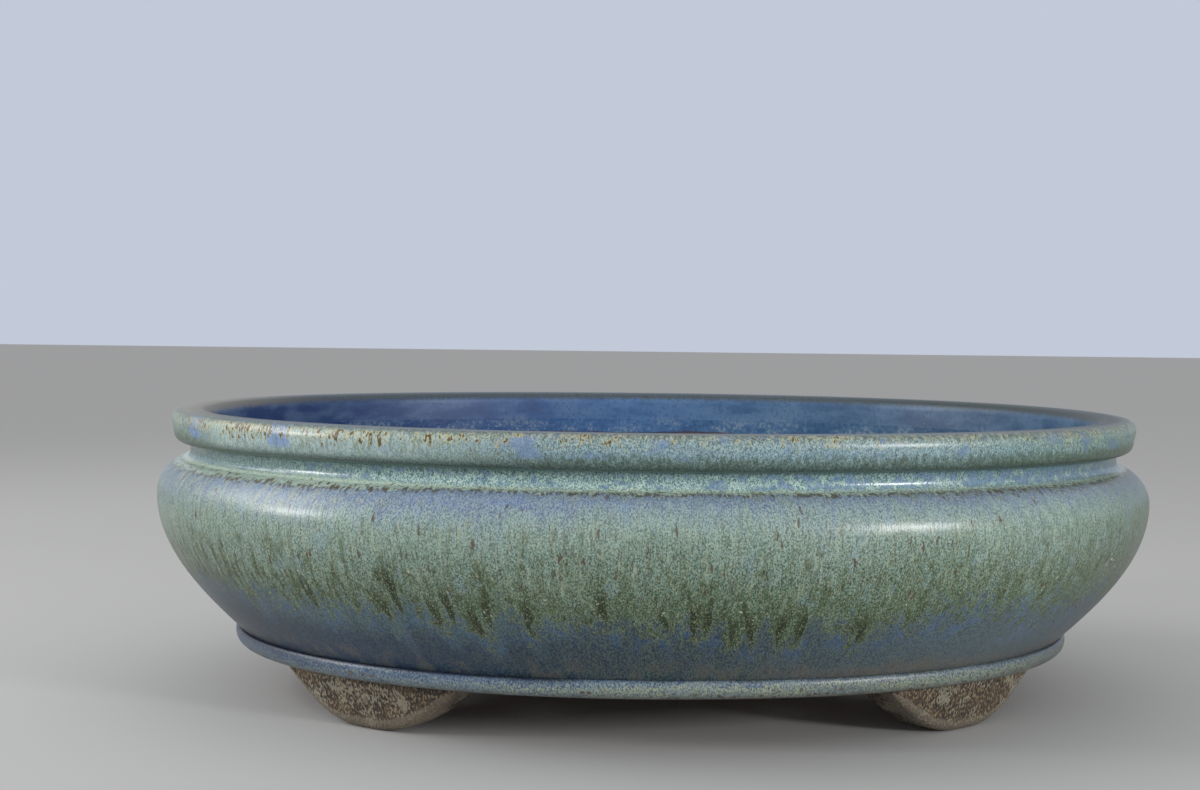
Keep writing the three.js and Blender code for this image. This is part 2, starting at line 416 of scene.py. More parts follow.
foot_rubbed = rise(foot_worn + swing(foot_crust, 1.5), 0.35, 0.95)
foot_base = mixed(foot_rubbed * 0.6, foot_base, display(128, 120, 106))
foot_rough = 0.7 + foot_grain * 0.24
fired(foot_clay, foot_base, foot_rough, foot_grain + foot_crust * 0.8, FOOT_RELIEF)

for side_name, side in (("front", -1), ("back", 1)):
    for end_name, end in (("left", -1), ("right", 1)):
        foot_name = f"foot_{end_name}_{side_name}"
        foot_piece = finished_piece(foot_name, foot_mesh(foot_name, end, side), foot_clay)
        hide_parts(f"foot_{side_name}_{end_name}")

# Foot band
# A strip of clay laid round the edge of the floor and rounded with a rib. The glaze breaks thin and blue on
# its upper edge, gathers pale and mottled on its crown, and stops short of the underside in brown specks.

BAND_TOP = (29, 24.4)
BAND_CROWN = (27.7, 22.2)
BAND_SOFFIT = (33.8, 17.8)
BAND_SEAT = 40
BAND_DOWN = 105.4
BAND_TOP_STEPS = 8
BAND_CROWN_STEPS = 12
BAND_ROUGHNESS = 0.26
BAND_RELIEF = 0.1
# Pale and deep colours of the glaze's grain, each at this many mm down its run.
BAND_PALE = [
    (105, (92, 108, 122)),
    (106.5, (118, 138, 154)),
    (108.5, (170, 180, 150)),
    (112, (138, 146, 136)),
    (116, (110, 104, 96)),
]
BAND_DEEP = [
    (105, (54, 68, 86)),
    (106.5, (72, 92, 122)),
    (108.5, (86, 106, 124)),
    (112, (88, 96, 94)),
    (116, (82, 74, 66)),
]


def followed(points, start, way=1):
    """Adds to each point of inset and height how far down the glaze's run it is, counted from start."""
    down = start
    run = [(*points[0], down)]
    for here, there in zip(points, points[1:]):
        down += way * math.hypot(there[0] - here[0], there[1] - here[1])
        run.append((*there, down))
    return run


def hoop(name, outline):
    """A closed hoop of clay: the outline carried round the oval, with its places in the glaze's run."""
    points = []
    runs = []
    for step, angle in enumerate(ROUND_ANGLES):
        turn = 2 * math.pi * step / ROUND_STEPS
        for inset, height, down in outline:
            points.append(oval_point(angle, inset, height))
            runs += [ROUND_RADIUS * math.cos(turn), ROUND_RADIUS * math.sin(turn), down * MM]
    count = len(outline)
    faces = []
    for step in range(ROUND_STEPS):
        here = step * count
        there = (step + 1) % ROUND_STEPS * count
        for side in range(count):
            after = (side + 1) % count
            faces.append((here + side, there + side, there + after, here + after))
    mesh = bpy.data.meshes.new(name)
    mesh.from_pydata(points, [], faces)
    mesh.attributes.new("glaze_run", "FLOAT_VECTOR", "POINT").data.foreach_set("vector", runs)
    turned = bmesh.new()
    turned.from_mesh(mesh)
    bmesh.ops.recalc_face_normals(turned, faces=turned.faces)
    turned.to_mesh(mesh)
    turned.free()
    return mesh


def glaze_run(material):
    """Where a point is in the glaze's run: two shades round the pot and one down it, as a place in metres."""
    attribute = material.node_tree.nodes.new("ShaderNodeAttribute")
    attribute.attribute_name = "glaze_run"
    return Shade(attribute.outputs["Vector"])


def parts_of(run):
    """How many mm a point is to the right, round from the middle of the front or back, and down."""
    right = run.node("ShaderNodeSeparateXYZ", {}, {0: run}, 0)
    away = run.node("ShaderNodeSeparateXYZ", {}, {0: run}, 1)
    down = run.node("ShaderNodeSeparateXYZ", {}, {0: run}, 2)
    turn = right.math("ARCTAN2", right, away.math("ABSOLUTE", away))
    return right / MM, turn * (ROUND_RADIUS / MM), down / MM


def ramp(value, stops):
    """A colour that changes as a distance passes the place of each stop, both in mm."""
    first = stops[0][0]
    length = stops[-1][0] - first
    shares = [((place - first) / length, display(*colour)) for place, colour in stops]
    share = (value - first) / length
    return value.node("ShaderNodeValToRGB", {"stops": shares}, {0: share})


def dimmed(share, colour, tint):
    """A colour darkened by a tint where share is 1, with its grain kept."""
    settings = {"data_type": "RGBA", "blend_type": "MULTIPLY"}
    return share.node("ShaderNodeMix", settings, {0: share, 6: colour, 7: tint}, 2)


band_glaze = new_material("band_glaze")
band_run = glaze_run(band_glaze)
band_right, _, band_down = parts_of(band_run)
band_grain = cloud(stretched(band_run, 1, 1.4), 0.48, 2)
band_patch = cloud(stretched(band_run, 2, 1), 8, 2)
band_left = rise(band_right, 10, -110)
band_level = band_down - band_left * 2.2 + swing(band_patch, 5) + swing(band_grain, 5)
band_pale = ramp(band_level, BAND_PALE)
band_deep = ramp(band_level, BAND_DEEP)
band_colour = mixed(rise(band_grain, 0.37, 0.63), band_deep, band_pale)
band_blue = rise(band_patch + swing(band_grain, 0.5), 0.5, 0.64)
band_colour = mixed(band_blue * 0.3, band_colour, display(102, 128, 160))
band_colour = mixed(band_left * 0.4, band_colour, display(54, 80, 120))
band_end_shade = rise(band_right.math("ABSOLUTE", band_right), 100, 178)
band_side = rise(band_right, 10, 70)
band_colour = mixed(band_side * 0.35, band_colour, display(84, 92, 84))
band_tooth = cloud(stretched(band_run, 1.3, 1), 0.7, 1)
band_colour = mixed(rise(band_tooth, 0.54, 0.7) * 0.42, band_colour, display(168, 166, 118))
band_colour = mixed(rise(band_tooth, 0.46, 0.3) * 0.5, band_colour, display(46, 58, 70))
# Painted shade: the band darkened towards the ends.
band_colour = dimmed(band_end_shade, band_colour, display(160, 162, 170))
# Painted shadow: the upper edge of the band on the left darkened, as in the shadow of the crease.
band_crease_shade = rise(band_right, -20, -60) * rise(band_down, 107.4, 106.2)
band_colour = dimmed(band_crease_shade, band_colour, display(120, 124, 136))
band_brown = specks(stretched(band_run, 1.4, 1), 2.2, 0.9, 0.36) * rise(band_down, 108, 110)
band_brown = band_brown * rise(band_patch + band_right * MM, 0.36, 0.52)
band_colour = mixed(band_brown * 0.85, band_colour, display(84, 62, 46))
band_bare = rise(band_level, 112.5, 114.5)
band_colour = mixed(band_bare, band_colour, display(96, 80, 66))
band_rough = BAND_ROUGHNESS + band_grain * 0.14 + band_bare * 0.4
fired(band_glaze, band_colour, band_rough, band_grain + band_patch, BAND_RELIEF)

band_outer = bend(BAND_TOP, (BAND_CROWN[0], BAND_TOP[1]), BAND_CROWN, BAND_TOP_STEPS)
band_outer += bend(BAND_CROWN, (BAND_CROWN[0], BAND_SOFFIT[1]), BAND_SOFFIT, BAND_CROWN_STEPS)[1:]
band_outer += [(BAND_SEAT, BAND_SOFFIT[1]), (BAND_SEAT, BAND_TOP[1])]
band_piece = finished_piece("band", hoop("band", followed(band_outer, BAND_DOWN)), band_glaze)
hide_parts("foot_band")

# Belly wall
# The bulging side, pressed in a mould and luted on the floor. Under the rim its glaze is a milky blue, lower
# down it runs to green and gathers in olive drips, and below them a thin slate blue glaze shows by itself.

BELLY_FOOT = (29, 24.4)
BELLY_FULLEST = (0, 72)
BELLY_SHOULDER = (8.2, 84.4)
BELLY_INNER_FOOT = (40, 24.4)
BELLY_INNER_FULLEST = (10, 72)
BELLY_INNER_SHOULDER = (18.5, 84.4)
BELLY_DOWN = 32.5
BELLY_INSIDE_DOWN = -18.3
LOWER_HANDLES = ((0.36, 0.22), (1, 0.58))
UPPER_HANDLES = ((0, 0.5), (0.5, 0.85))
BELLY_STEPS = (40, 16)
BELLY_INNER_STEPS = (20, 10)
BELLY_ROUGHNESS = 0.24
BELLY_RELIEF = 0.12
# Colours inside, darker to the left and paler to the right, each at this many mm to the right.
POUR_COLOURS = [
    (-150, (14, 48, 98)),
    (-70, (42, 84, 142)),
    (0, (74, 114, 164)),
    (80, (70, 106, 142)),
    (150, (60, 92, 122)),
]
# Pale and deep colours of the upper glaze's grain, each at this many mm down its run.
BELLY_PALE = [
    (33, (144, 160, 158)),
    (36, (136, 156, 170)),
    (41, (152, 175, 175)),
    (46, (160, 184, 174)),
    (53, (146, 175, 166)),
    (61, (134, 163, 149)),
    (70, (119, 152, 132)),
    (80, (111, 143, 124)),
]
BELLY_DEEP = [
    (33, (100, 114, 126)),
    (36, (96, 114, 148)),
    (41, (108, 128, 136)),
    (46, (112, 132, 124)),
    (53, (92, 108, 90)),
    (61, (80, 95, 74)),
    (70, (62, 80, 54)),
    (80, (54, 70, 44)),
]
# Tongues of the upper glaze: the place round the pot, the tip's place down the run and the width, in mm.
TONGUES = (
    (-230, 73, 9),
    (-205, 75, 8),
    (-185, 74, 9),
    (-160, 79, 8),
    (-127, 79, 7),
    (-110, 78, 8),
    (-99, 83, 7),
    (-81, 83, 6),
    (-67, 86, 9),
    (-51, 84, 7),
    (-26, 79, 8),
    (-8, 81, 7),
    (4, 84, 7),
    (14, 88, 6),
    (20, 87, 5),
    (29, 87, 6),
    (34, 87, 8),
    (57, 88, 8),
    (75, 81, 8),
    (111, 80, 8),
    (150, 78, 9),
    (190, 77, 9),
    (222, 76, 8),
)
TONGUE_TAPER = 24
# Dark drips in them: the place round the pot and the tip's place down the run.
DRIPS = (
    (-127, 78),
    (-99, 81),
    (-93, 78),
    (-81, 82),
    (-76, 80),
    (-68, 85),
    (-63, 81),
    (-51, 82),
    (-26, 77),
    (-8, 80),
    (2, 83),
    (6, 81),
    (14, 87),
    (20, 86),
    (29, 87),
    (36, 86),
    (57, 87),
)
DRIP_TAPER = 4
# Where the upper glaze ends down its run, and the place about which its tongues and drips lean.
DRIP_LINE = 76
DRIP_MIDDLE = 75
DRIP_LEAN = 0.15
# So far above that line that only the drips count.
FAR_ABOVE = 200


def swell(start, end, handles, steps):
    """Points along a curve of the belly, whose handles are shares of the way from start to end."""
    reach = (end[0] - start[0], end[1] - start[1])
    points = []
    for step in range(steps + 1):
        way = step / steps
        first = 3 * way * (1 - way) ** 2
        second = 3 * way**2 * (1 - way)
        last = way**3
        inset = start[0] + reach[0] * (handles[0][0] * first + handles[1][0] * second + last)
        height = start[1] + reach[1] * (handles[0][1] * first + handles[1][1] * second + last)
        points.append((inset, height))
    return points


def wavered(place, size, reach):
    """A place moved by up to this many mm over patches of this size, so that marks drawn on it waver."""
    inputs = {"Vector": place, "Scale": 1 / (size * MM), "Detail": 1}
    sway = place.node("ShaderNodeTexNoise", {"noise_dimensions": "3D"}, inputs, 1)
    scaled = {0: sway, 1: (2 * reach * MM,) * 3, 2: (-reach * MM,) * 3}
    shift = place.node("ShaderNodeVectorMath", {"operation": "MULTIPLY_ADD"}, scaled)
    return place.node("ShaderNodeVectorMath", {"operation": "ADD"}, {0: place, 1: shift})


def inner_shades(run):
    """Colour inside the pot, how far it is bare clay, and the clay's relief.

    A deep cobalt glaze was poured round the rim, cloudy, darker to the left and paler and greyer to the
    right. Below it the clay is bare.
    """
    right, _, down = parts_of(run)
    clay, _, clay_relief = bare_clay_shades(run)
    haze = cloud(stretched(run, 3, 1), 7, 3, 0.55)
    bloom = cloud(run, 1.6, 3, 0.65)
    pour = cloud(stretched(run, 1, 0), 26, 2)
    base = ramp(right, POUR_COLOURS)
    colour = mixed(rise(haze, 0.4, 0.66) * 0.28, base, display(112, 142, 174))
    colour = mixed(rise(haze, 0.5, 0.3) * 0.4, colour, display(30, 60, 108))
    colour = mixed(rise(bloom, 0.5, 0.36) * 0.35, colour, display(34, 58, 96))
    frosted = rise(bloom + swing(haze, 0.6), 0.54, 0.66) * rise(down, -10, -16)
    colour = mixed(frosted * 0.45, colour, display(150, 162, 168))
    colour = mixed(specks(run, 6, 1, 0.07) * 0.8, colour, display(132, 134, 80))
    bare = rise(down + swing(pour, 4), -18.6, -19.2)
    edge = rise(down + swing(pour, 4), -17.6, -18.5)
    colour = mixed(edge * 0.8, colour, display(76, 56, 46))
    return mixed(bare, colour, clay), bare, clay_relief


belly_outer = swell(BELLY_FOOT, BELLY_FULLEST, LOWER_HANDLES, BELLY_STEPS[0])
belly_outer += swell(BELLY_FULLEST, BELLY_SHOULDER, UPPER_HANDLES, BELLY_STEPS[1])[1:]
belly_outer.reverse()
belly_inner = swell(BELLY_INNER_FOOT, BELLY_INNER_FULLEST, LOWER_HANDLES, BELLY_INNER_STEPS[0])
belly_inner += swell(BELLY_INNER_FULLEST, BELLY_INNER_SHOULDER, UPPER_HANDLES, BELLY_INNER_STEPS[1])[1:]
belly_inner.reverse()
belly_outline = followed(belly_outer, BELLY_DOWN)
belly_outline += reversed(followed(belly_inner, BELLY_INSIDE_DOWN, -1))

belly_glaze = new_material("belly_glaze")
belly_run = glaze_run(belly_glaze)
belly_right, belly_round, belly_depth = parts_of(belly_run)
belly_grain = cloud(stretched(belly_run, 1, 1.4), 0.42, 2)
belly_speck = cloud(stretched(belly_run, 1, 2), 0.58, 2)
belly_thread = cloud(stretched(belly_run, 1, 8), 0.8, 1)
belly_streak = cloud(stretched(belly_run, 1, 7), 1.2, 1)
belly_course = cloud(stretched(belly_run, 1, 6), 3.4, 2)
belly_moss = cloud(stretched(belly_run, 1, 1.5), 2.4, 3, 0.65)
belly_pool = cloud(stretched(belly_run, 1, 1.6), 6, 2)
belly_patch = cloud(stretched(belly_run, 1.4, 1), 16, 2)

# The edge of the upper glaze, with its tongues and drips.
belly_slant = belly_round - (belly_depth - DRIP_MIDDLE) * DRIP_LEAN + swing(belly_moss, 10)
belly_wander = cloud(stretched(belly_run, 1, 0), 30, 1)
belly_line = DRIP_LINE + swing(belly_wander, 22)
belly_edge = belly_line
for place, tip, width in TONGUES:
    off = belly_slant - place
    belly_edge = belly_edge.math("MAXIMUM", belly_edge, tip - off * off * (TONGUE_TAPER / width**2))
belly_lean = 0.03 + rise(belly_round, -90, -20) * 0.12
belly_drift = belly_round - (belly_depth - DRIP_MIDDLE) * belly_lean + swing(cloud(belly_run, 9, 1), 4)
belly_finger = belly_line - FAR_ABOVE
for place, tip in DRIPS:
    off = belly_drift - place
    belly_finger = belly_finger.math("MAXIMUM", belly_finger, tip - off * off * DRIP_TAPER)
belly_tongue = rise(belly_edge - belly_line, 1, 7)
belly_above = belly_edge - belly_depth
belly_core = belly_finger + 1 - belly_depth + swing(belly_grain, 9)
belly_core = rise(belly_core, -1, 2) * rise(belly_above + swing(belly_moss, 14), 16, 5)
belly_side = rise(belly_right, 40, 130)
belly_ragged = (swing(belly_moss, 34) + swing(belly_grain, 26)) * (1 + belly_side)
belly_ragged = belly_ragged + swing(belly_pool, 20)
belly_covered = rise(belly_above + belly_ragged, -4, 4)
belly_covered = belly_covered.math("MAXIMUM", belly_covered, belly_core)

# The upper glaze, from milky blue to green and olive.
belly_level = belly_depth - rise(belly_round, -20, -80) * 4
belly_level = belly_level + swing(belly_course, 14) + swing(belly_patch, 10)
belly_pale = ramp(belly_level, BELLY_PALE)
belly_deep = ramp(belly_level, BELLY_DEEP)
belly_upper = mixed(rise(belly_grain, 0.39, 0.61), belly_deep, belly_pale)
belly_window = rise(belly_pool + swing(belly_grain, 0.5), 0.56, 0.7) * rise(belly_depth, 80, 66)
belly_upper = mixed(belly_window * 0.3, belly_upper, display(136, 164, 184))
belly_sheen = rise(belly_streak, 0.58, 0.72) * rise(belly_depth, 40, 46) * rise(belly_depth, 78, 64)
belly_upper = mixed(belly_sheen * 0.42, belly_upper, display(172, 186, 160))
belly_hair = rise(belly_thread, 0.57, 0.66) * rise(belly_depth, 36, 50)
belly_upper = mixed(belly_hair * 0.48, belly_upper, display(88, 86, 60))
# Painted shade: how near a point is to the ends, where the glaze is darkened.
belly_end_shade = rise(belly_right.math("ABSOLUTE", belly_right), 110, 178)
belly_warm = rise(belly_moss * 0.5 + belly_grain * 0.5, 0.44, 0.56) * belly_side * rise(belly_depth, 70, 56)
belly_upper = mixed(belly_warm * 0.22, belly_upper, display(50, 68, 46))
belly_shoulder = rise(belly_round, -10, -70) * rise(belly_depth, 41, 37) * 0.25
belly_upper = mixed(belly_shoulder, belly_upper, display(104, 138, 208))
belly_near = rise(belly_above, 27, 5)
belly_dark = belly_grain * 0.6 + belly_course * 0.2 + belly_moss * 0.45
belly_far_left = rise(belly_round, -60, -130)
belly_comb = cloud(stretched(belly_run, 1, 5), 1.7, 1)
belly_dark = belly_dark + belly_near * (belly_comb - 0.5) * (0.2 + belly_far_left * 0.55)
belly_dark = belly_dark + belly_near * (0.07 + belly_tongue * 0.04)
belly_dark = belly_dark + belly_core * 0.09 + rise(belly_depth, 38, 64) * 0.06
belly_olive = mixed(rise(belly_grain, 0.4, 0.6), display(49, 66, 37), display(98, 118, 83))
belly_upper = mixed(rise(belly_dark, 0.73, 0.83) * 0.85, belly_upper, belly_olive)
belly_burnt = mixed(rise(belly_speck, 0.4, 0.62), display(30, 40, 19), display(85, 98, 61))
belly_upper = mixed(rise(belly_dark, 0.8, 0.92) * 0.9, belly_upper, belly_burnt)

# Its sharp grain, and painted shade towards the ends.
belly_tooth = cloud(stretched(belly_run, 1, 1.6), 0.46, 1)
belly_upper = mixed(rise(belly_tooth, 0.52, 0.72) * 0.44, belly_upper, display(184, 189, 162))
belly_bite = rise(belly_tooth, 0.48, 0.28) * (0.35 + rise(belly_depth, 44, 64) * 0.35)
belly_upper = mixed(belly_bite, belly_upper, display(24, 36, 26))
belly_upper = mixed(belly_core * rise(belly_tooth, 0.72, 0.5) * 0.72, belly_upper, display(25, 40, 14))
belly_upper = dimmed(belly_end_shade * (1 - belly_side), belly_upper, display(206, 210, 204))
belly_upper = dimmed(belly_end_shade * belly_side, belly_upper, display(150, 162, 144))

# The slate glaze below it, greyer to the right, and darker and bluer to the left and towards the bottom,
# which is partly painted shade.
belly_slate = mixed(rise(belly_speck, 0.39, 0.61), display(34, 52, 70), display(84, 102, 98))
belly_cobalt = rise(belly_pool + swing(belly_grain, 0.5), 0.46, 0.6) * rise(belly_above, -18, -4)
belly_slate = mixed(belly_cobalt * 0.65, belly_slate, display(54, 88, 138))
belly_rusty = rise(belly_moss * 0.5 + belly_speck * 0.6, 0.57, 0.65)
belly_slate = mixed(belly_rusty * 0.5, belly_slate, display(98, 110, 78))
belly_slate = mixed(rise(belly_right, -40, 140) * 0.45, belly_slate, display(106, 126, 138))
# Darker, bluer slate to the left and towards the bottom: partly the glaze's colour, partly painted shade.
belly_left_slate_and_shade = rise(belly_right, 20, -110) * (0.1 + rise(belly_depth, 80, 95) * 0.6)
belly_slate = mixed(belly_left_slate_and_shade, belly_slate, display(4, 46, 86))
belly_halo = rise(belly_above, -16, -2) * rise(belly_right, 0, -80) * 0.4
belly_slate = mixed(belly_halo, belly_slate, display(104, 134, 148))
belly_tan = rise(belly_depth, 91, 102) * rise(belly_pool + swing(belly_grain, 0.5), 0.46, 0.6)
belly_violet = rise(belly_pool + swing(belly_tooth, 0.4), 0.5, 0.6) * rise(belly_above, -24, -4)
belly_slate = mixed(belly_violet * belly_side * 0.5, belly_slate, display(98, 122, 160))
belly_slate = mixed(belly_tan * 0.5, belly_slate, display(112, 106, 92))
belly_heel = rise(belly_depth + swing(belly_grain, 6), 98, 102) * rise(belly_right, 0, 70)
belly_slate = mixed(belly_heel * 0.5, belly_slate, display(114, 102, 90))
belly_slate = mixed(rise(belly_tooth, 0.52, 0.72) * 0.5, belly_slate, display(104, 124, 128))
belly_slate = mixed(rise(belly_tooth, 0.48, 0.28) * 0.6, belly_slate, display(16, 26, 38))
# Painted shade: the slate darkened towards the ends.
belly_slate = dimmed(belly_end_shade, belly_slate, display(122, 130, 144))
belly_colour = mixed(belly_covered, belly_slate, belly_upper)
belly_fringe = belly_covered * (1 - belly_covered) * (0.3 + rise(belly_tooth, 0.44, 0.6) * 1.2)
belly_colour = mixed(belly_fringe, belly_colour, display(138, 144, 106))

# Rust flecks, pale chips, and the thin glaze and brown seam in the crease under the neck.
belly_wavered = wavered(belly_run, 2, 1)
belly_fleck = specks(stretched(belly_wavered, 1, 4), 3.6, 1, 0.16) * rise(belly_above, 2, 8)
belly_colour = mixed(belly_fleck * 0.76, belly_colour, display(80, 54, 40))
belly_chip = specks(belly_wavered, 1.7, 0.5, 0.3) * rise(cloud(belly_run, 9, 1), 0.62, 0.68)
belly_chip = belly_chip * rise(belly_above, 18, 14) * rise(belly_above, 2, 5)
belly_colour = mixed(belly_chip * 0.8, belly_colour, display(200, 198, 178))
belly_smear = cloud(stretched(belly_wavered, 1, 3), 1, 1)
belly_left = rise(belly_round, -80, -140) * rise(belly_depth, 50, 38)
belly_left = belly_left * rise(belly_streak * 0.5 + belly_moss * 0.6, 0.54, 0.66)
belly_colour = mixed(belly_left * 0.4, belly_colour, display(178, 182, 148))
belly_crease = belly_depth - belly_far_left * 2.5 + swing(belly_moss, 7)
belly_thin = rise(belly_crease, 33.6, 32.6) * (0.35 + rise(belly_tooth, 0.4, 0.6) * 0.45)
belly_colour = mixed(belly_thin, belly_colour, display(176, 196, 172))
belly_seam = rise(belly_crease, 32, 32.8) * rise(belly_crease, 34.8, 33.6) * rise(belly_smear, 0.46, 0.53)
belly_colour = mixed(belly_seam * 0.8, belly_colour, display(78, 70, 40))
belly_dash = specks(stretched(belly_wavered, 1, 1.8), 1.9, 0.9, 0.4) * rise(belly_depth, 40, 34)
belly_dash = belly_dash * rise(belly_round.math("ABSOLUTE", belly_round), 50, 120)
belly_colour = mixed(belly_dash * 0.85, belly_colour, display(84, 66, 46))

# The inside of the wall.
belly_inside = rise(belly_depth, 5, -5)
belly_lining, belly_bare, belly_clay_relief = inner_shades(belly_run)
belly_colour = mixed(belly_inside, belly_colour, belly_lining)
belly_rough = BELLY_ROUGHNESS + belly_grain * 0.14 + belly_inside * belly_bare * 0.5
belly_relief = belly_grain * 0.25 + belly_streak * 0.5 + belly_course * 0.6 + belly_covered * 0.7
belly_relief = belly_relief + belly_inside * belly_clay_relief
fired(belly_glaze, belly_colour, belly_rough, belly_relief, BELLY_RELIEF)

belly_piece = finished_piece("belly", hoop("belly", belly_outline), belly_glaze)
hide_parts("belly_wall")

# Neck band
# A strip luted on the shoulder and hollowed with a rounded rib. Glaze gathers in the hollow, pale and
# curdled, dark green under the lip and bluer to the right, and breaks to olive specks on the ridge below.

NECK_TOP = (9.8, 90.4)
NECK_DEEPEST = (11.5, 87.4)
NECK_RIDGE = (8.2, 84.4)
NECK_INNER = 18.5
NECK_DOWN = 23.5
NECK_INSIDE_DOWN = -12.3
NECK_STEPS = (9, 11)
NECK_ROUGHNESS = 0.16
NECK_RELIEF = 0.08
# Pale and deep colours of the grain, as on the belly.
NECK_PALE = [
    (23, (116, 140, 136)),
    (26, (160, 188, 182)),
    (29, (206, 229, 220)),
    (31.5, (206, 220, 198)),
    (33, (184, 190, 158)),
]
NECK_DEEP = [
    (23, (68, 90, 87)),
    (26, (86, 116, 120)),
    (29, (112, 150, 158)),
    (31.5, (132, 152, 132)),
    (33, (106, 100, 74)),
]

neck_outer = bend(NECK_TOP, (NECK_DEEPEST[0], NECK_TOP[1]), NECK_DEEPEST, NECK_STEPS[0])
neck_outer += bend(NECK_DEEPEST, (NECK_DEEPEST[0], NECK_RIDGE[1]), NECK_RIDGE, NECK_STEPS[1])[1:]
neck_outline = followed(neck_outer, NECK_DOWN)
neck_inside_foot = NECK_INSIDE_DOWN - (NECK_TOP[1] - NECK_RIDGE[1])
neck_outline.append((NECK_INNER, NECK_RIDGE[1], neck_inside_foot))
neck_outline.append((NECK_INNER, NECK_TOP[1], NECK_INSIDE_DOWN))

neck_glaze = new_material("neck_glaze")
neck_run = glaze_run(neck_glaze)
neck_right, neck_round, neck_down = parts_of(neck_run)
neck_grain = cloud(stretched(neck_run, 1, 1.3), 0.42, 2)
neck_curd = cloud(stretched(neck_run, 1, 1.4), 1.2, 2)
neck_blue = cloud(stretched(neck_run, 1.3, 1), 3, 2)
neck_level = neck_down + swing(neck_curd, 5)
neck_pale = ramp(neck_level, NECK_PALE)
neck_deep = ramp(neck_level, NECK_DEEP)
neck_colour = mixed(rise(neck_grain * 0.85 + neck_curd * 0.15, 0.41, 0.58), neck_deep, neck_pale)
neck_hollow = rise(neck_down, 24, 26) * rise(neck_down, 31, 29)
neck_tint = neck_blue + swing(neck_grain, 0.5) + rise(neck_right, -60, 150) * 0.13
neck_colour = mixed(rise(neck_tint, 0.55, 0.66) * neck_hollow * 0.65, neck_colour, display(100, 130, 172))
# Painted shade: the neck darkened towards the ends, above the ridge.
neck_end_shade = rise(neck_right.math("ABSOLUTE", neck_right), 100, 178)
neck_end_shade = neck_end_shade * rise(neck_down, 32, 29)
neck_colour = dimmed(neck_end_shade, neck_colour, display(166, 170, 174))
neck_side = rise(neck_right, 40, 120) * rise(neck_down, 33, 29)
neck_colour = mixed(neck_side * 0.35, neck_colour, display(66, 92, 98))
# Painted shade: the hollow of the neck darkened on the left.
neck_left_hollow_shade = rise(neck_round, -80, -130) * neck_hollow
neck_colour = mixed(neck_left_hollow_shade * 0.3, neck_colour, display(80, 108, 100))
# Paler lower neck on the left: partly cream-green glaze, partly painted light where the ridge catches the
# light from the left.
neck_left_glaze_and_light = rise(neck_round, -60, -120) * rise(neck_down, 29, 31)
neck_colour = mixed(neck_left_glaze_and_light * 0.6, neck_colour, display(220, 238, 216))
neck_smear = cloud(stretched(neck_run, 1, 4), 1.3, 1)
neck_far = rise(neck_right, 110, 165)
neck_thin = rise(neck_down + swing(neck_curd, 8), 30.4, 32) * rise(neck_smear, 0.5, 0.57)
neck_colour = mixed(neck_thin * (0.7 - neck_far * 0.4), neck_colour, display(92, 80, 52))
neck_inside = rise(neck_down, 5, -5)
neck_lining, neck_bare, _ = inner_shades(neck_run)
neck_colour = mixed(neck_inside, neck_colour, neck_lining)
neck_rough = NECK_ROUGHNESS + neck_grain * 0.14 + neck_inside * neck_bare * 0.5
fired(neck_glaze, neck_colour, neck_rough, neck_grain * 0.3 + neck_curd, NECK_RELIEF)

neck_piece = finished_piece("neck", hoop("neck", neck_outline), neck_glaze)
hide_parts("neck_band")

# Lip
# A heavy rounded rim luted on the neck. Its glaze is pale green and blue on the face, dark green where it
# thickens below, and worn thin on the upper edge, where the iron in the clay breaks through in rust streaks.

LIP_INNER = 18.5
LIP_BOTTOM = 90.4
LIP_TOP = 101.8
LIP_OUTER = 5
LIP_LEAN = 0.8
LIP_OUTER_ROUND = 4
LIP_INNER_ROUND = 4.5
LIP_UNDER_ROUND = 4
LIP_ROUND_STEPS = 10
LIP_INNER_STEPS = 8
LIP_ROUGHNESS = 0.26
LIP_RELIEF = 0.07
# Places round the pot of two blue panes in the lip's glaze.
LIP_PANES = (-191, -139)
# Pale and deep colours of the grain, as on the belly. The pale colours of the face, 12 to 15 mm down, are
# partly painted light.
LIP_PALE = [
    (-4, (92, 110, 116)),
    (5, (86, 96, 98)),
    (8.5, (106, 118, 112)),
    (12, (164, 188, 186)),
    (15, (160, 188, 195)),
    (17.5, (114, 139, 135)),
    (20, (90, 112, 106)),
    (24, (100, 122, 118)),
]
LIP_DEEP = [
    (-4, (60, 78, 90)),
    (5, (64, 76, 82)),
    (8.5, (70, 80, 80)),
    (12, (108, 130, 134)),
    (15, (102, 130, 142)),
    (17.5, (78, 98, 92)),
    (20, (54, 70, 66)),
    (24, (58, 76, 72)),
]

lip_inner_top = (LIP_INNER, LIP_TOP - LIP_INNER_ROUND)
lip_flat_start = (LIP_INNER - LIP_INNER_ROUND, LIP_TOP)
lip_flat_end = (LIP_OUTER + LIP_OUTER_ROUND, LIP_TOP)
lip_face_top = (LIP_OUTER, LIP_TOP - LIP_OUTER_ROUND)
lip_face_foot = (LIP_OUTER + LIP_LEAN, LIP_BOTTOM + LIP_UNDER_ROUND)
lip_under_end = (LIP_OUTER + LIP_LEAN + LIP_UNDER_ROUND, LIP_BOTTOM)
lip_outer = [(LIP_INNER, LIP_BOTTOM)]
lip_outer += bend(lip_inner_top, (LIP_INNER, LIP_TOP), lip_flat_start, LIP_INNER_STEPS)
lip_outer += bend(lip_flat_end, (LIP_OUTER, LIP_TOP), lip_face_top, LIP_ROUND_STEPS)
lip_outer += bend(lip_face_foot, (lip_face_foot[0], LIP_BOTTOM), lip_under_end, LIP_ROUND_STEPS)

